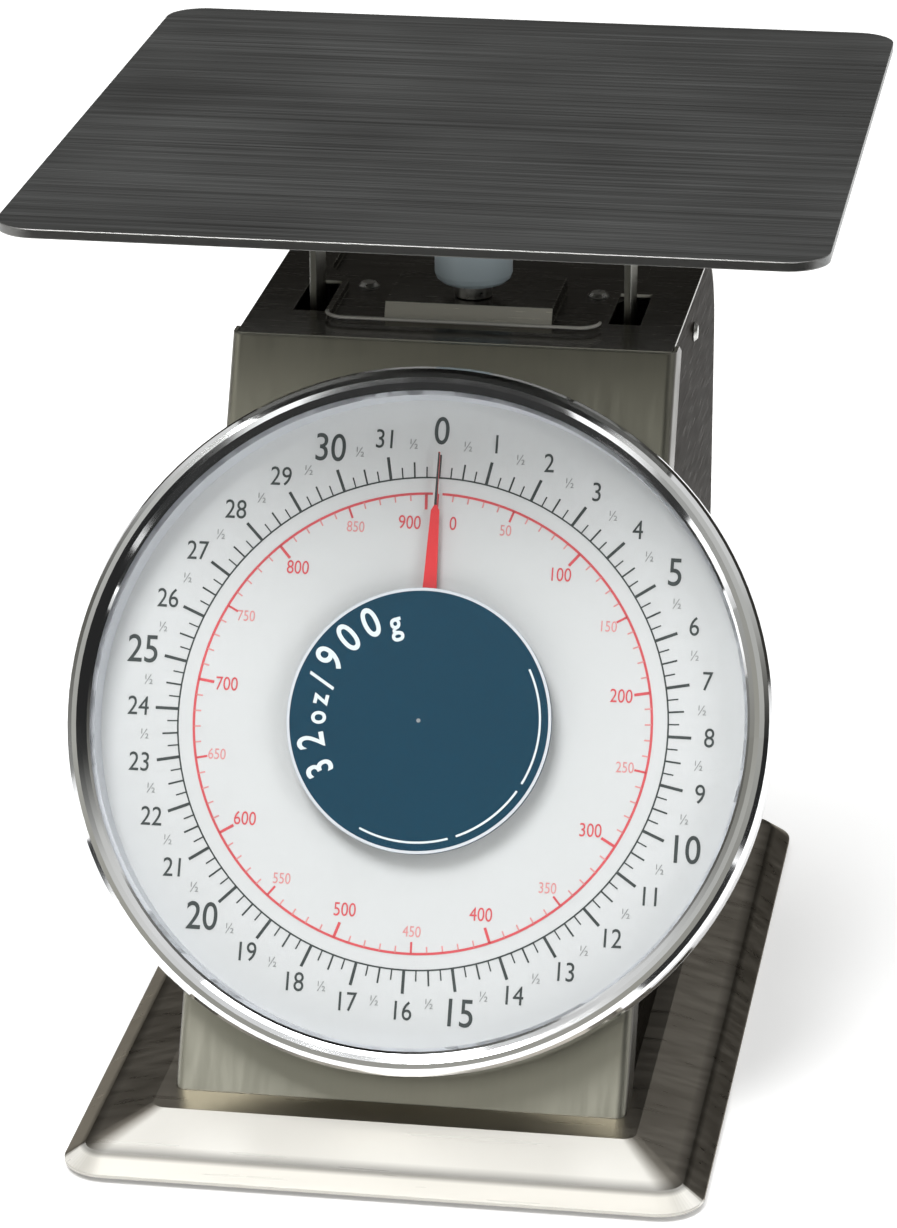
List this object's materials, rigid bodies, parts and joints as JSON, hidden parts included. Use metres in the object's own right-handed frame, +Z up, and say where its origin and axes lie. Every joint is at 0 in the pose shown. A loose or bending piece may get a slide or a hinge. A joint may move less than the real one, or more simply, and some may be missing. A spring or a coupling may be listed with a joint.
{
  "type": "dial spring scale",
  "caption": "Spring scale with a flat rectangular load pan on two posts above a sloped sheet-metal housing, a round glazed dial and a flared base.",
  "frame": {"origin": "centre of the overall footprint, on the table", "axes": "+Z up; the dial faces -Y, tilted 27.3 degrees up; +X is to the right of a person reading the dial"},
  "size_m": [0.23, 0.3064, 0.2617],
  "materials": {
    "pan_steel": "fine straight brushed grain across the pan",
    "body_steel": "brushed stainless sheet",
    "inner_steel": "plain zinc-plated sheet",
    "hardware": "bright screws, pins and rivets",
    "chrome": "polished rolled rim",
    "case_metal": "satin dial case",
    "dial_white": "white enamel with black and red graduations",
    "ring_white": "white spacer",
    "glass": "clear flat lens",
    "pointer_red": "red enamel, dark tip",
    "disc_blue": "dark teal disc with a pale edge",
    "knob_plastic": "pale blue-grey moulded plastic",
    "foot_rubber": "black moulded rubber",
    "brass": "bright brass movement parts",
    "spring_steel": "spring wire",
    "stop_rubber": "black stop posts"
  },
  "bodies": {
    "housing": {"base_skirt": "body_steel", "bottom_plate": "inner_steel", "feet": "foot_rubber", "base_screws": "hardware", "front_panel": "body_steel", "side_left": "body_steel", "side_right": "body_steel", "top_cover": "body_steel", "cover_rivets": "hardware", "side_rivets": "hardware", "dial_case": "case_metal", "dial_plate": "dial_white", "spacer_ring": "ring_white", "lens": "glass", "bezel": "chrome", "case_screws": "hardware", "arbor": "brass", "centre_disc": "disc_blue", "movement_plate": "brass", "standoffs": "brass", "rack_guide": "brass", "main_frame": "inner_steel", "pivot_rods": "hardware", "overload_stop": "stop_rubber", "main_spring": "spring_steel"},
    "load_pan": {"pan": "pan_steel", "carriage": "body_steel", "post_pins": "hardware", "pan_studs": "hardware"},
    "needle": {"pinion": "brass", "pointer": "pointer_red"},
    "rack_bar": {"rack": "brass"},
    "upper_link": {"upper_lever": "inner_steel"},
    "lower_link": {"lower_lever": "inner_steel"},
    "adjuster": {"zero_knob": "knob_plastic", "zero_stud": "hardware"},
    "hanger": {"spring_hanger": "hardware"}
  },
  "joints": [
    {"name": "pan_slide", "type": "slide", "parent": "housing", "child": "load_pan", "axis": [0, 0, 1], "range_m": [-0.0126, 0], "stiffness_N_per_m": 708, "springref_m": 0.012, "deforming": ["main_spring"]},
    {"name": "rack_slide", "type": "slide", "parent": "housing", "child": "rack_bar", "axis": [0, 0.4587, 0.8886], "range_m": [-0.01419, 0]},
    {"name": "needle_turn", "type": "hinge", "parent": "housing", "child": "needle", "pos_m": [0, -0.0694, 0.1108], "axis": [0, -0.8886, 0.4587], "range_deg": [-361.2, 0]},
    {"name": "upper_lever_hinge", "type": "hinge", "parent": "housing", "child": "upper_link", "pos_m": [0, 0.09, 0.168], "axis": [1, 0, 0], "range_deg": [0, 12.05]},
    {"name": "lower_lever_hinge", "type": "hinge", "parent": "housing", "child": "lower_link", "pos_m": [0, 0.09, 0.066], "axis": [1, 0, 0], "range_deg": [0, 12.05]},
    {"name": "zero_knob_turn", "type": "hinge", "parent": "housing", "child": "adjuster", "pos_m": [0, 0.03, 0.2223], "axis": [0, 0, 1], "range_deg": [-360, 360]},
    {"name": "hanger_slide", "type": "slide", "parent": "housing", "child": "hanger", "axis": [0, 0, 1], "range_m": [-0.00081, 0.00081]}
  ],
  "couplings": [
    {"joint": "rack_slide", "follows": "pan_slide", "ratio": 1.1253},
    {"joint": "needle_turn", "follows": "pan_slide", "rad_per_m": 500.15},
    {"joint": "upper_lever_hinge", "follows": "pan_slide", "rad_per_m": -16.667},
    {"joint": "lower_lever_hinge", "follows": "pan_slide", "rad_per_m": -16.667},
    {"joint": "hanger_slide", "follows": "zero_knob_turn", "m_per_rad": 0.00012732}
  ]
}
